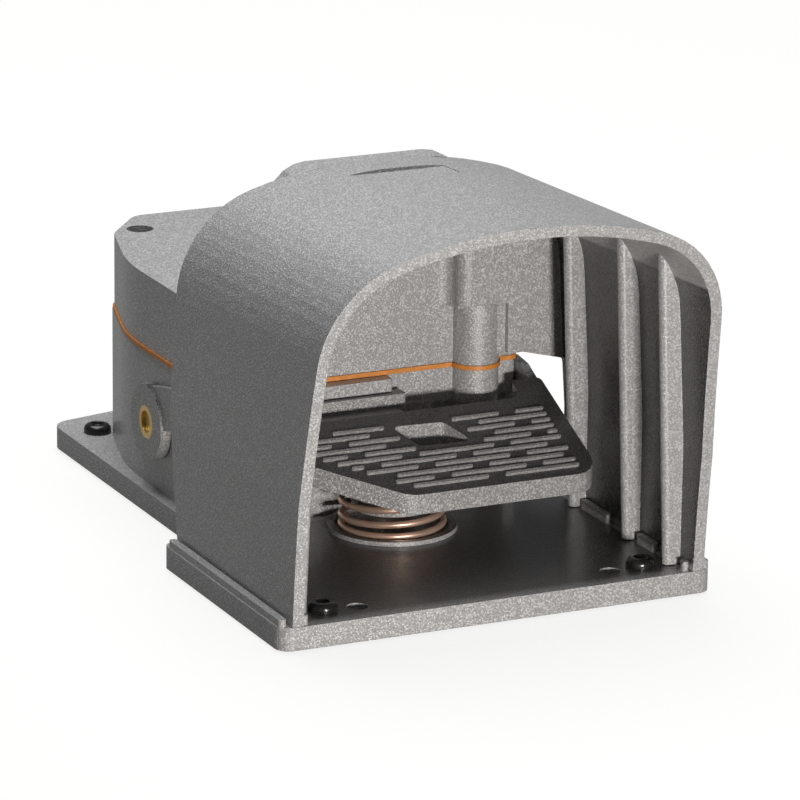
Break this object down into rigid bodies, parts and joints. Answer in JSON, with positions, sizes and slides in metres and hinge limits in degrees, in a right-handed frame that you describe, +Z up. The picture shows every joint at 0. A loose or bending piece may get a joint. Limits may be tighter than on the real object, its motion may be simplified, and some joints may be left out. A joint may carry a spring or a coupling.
{
  "type": "foot switch",
  "caption": "Cast industrial foot switch: hooded foot guard over a sprung ribbed pedal, sealed rear switch box with a rear cable entry, on a flat base plate.",
  "frame": {"origin": "middle of the footprint, on the floor", "axes": "+X across the foot, to the right for someone facing the mouth; +Y the way the foot goes in, from the mouth to the cable entry; +Z up"},
  "size_m": [0.16, 0.2759, 0.1419],
  "materials": {
    "cast_paint": "hammered grey enamel over cast metal, semi-gloss",
    "pedal_paint": "hammered dark grey enamel over cast metal, worn edges",
    "black_rubber": "satin",
    "orange_rubber": "satin",
    "zinc_steel": "zinc plated",
    "spring_steel": "drawn wire, light bronze tint",
    "yellow_steel": "yellow passivated",
    "brass": "turned",
    "pale_plastic": "moulded, satin"
  },
  "bodies": {
    "housing": {"base_casting": "cast_paint", "rubber_feet": "black_rubber", "cover_casting": "cast_paint", "gasket": "orange_rubber", "rear_cover_screws": "zinc_steel", "front_cover_screws": "zinc_steel", "shaft_bushes": "brass", "shaft_seals": "black_rubber", "switch_bracket": "zinc_steel", "bracket_screws": "zinc_steel", "switch_housing": "pale_plastic", "switch_cover": "pale_plastic", "switch_screws": "zinc_steel", "closed_contacts": "brass", "open_contacts": "brass", "terminal_screws": "zinc_steel", "plunger_spring": "spring_steel", "earth_screw": "zinc_steel", "earth_washer": "brass", "return_spring": "spring_steel"},
    "pedal_unit": {"pedal": "pedal_paint", "pivot_shaft": "yellow_steel", "hub_bushes": "brass", "shaft_rings": "zinc_steel", "cam_lever": "zinc_steel", "cam_pin": "zinc_steel"},
    "plunger_unit": {"plunger": "pale_plastic", "contact_bridge": "brass"}
  },
  "joints": [
    {"name": "pedal_hinge", "type": "hinge", "parent": "housing", "child": "pedal_unit", "pos_m": [0, 0.04048, 0.0344], "axis": [1, 0, 0], "range_deg": [0, 5], "stiffness_Nm_per_rad": 8, "springref_deg": -20.05, "deforming": ["return_spring"]},
    {"name": "plunger_slide", "type": "slide", "parent": "housing", "child": "plunger_unit", "axis": [0, 0, -1], "range_m": [0, 0.0024], "deforming": ["plunger_spring"]}
  ],
  "couplings": [
    {"joint": "plunger_slide", "follows": "pedal_hinge", "m_per_rad": 0.026}
  ]
}
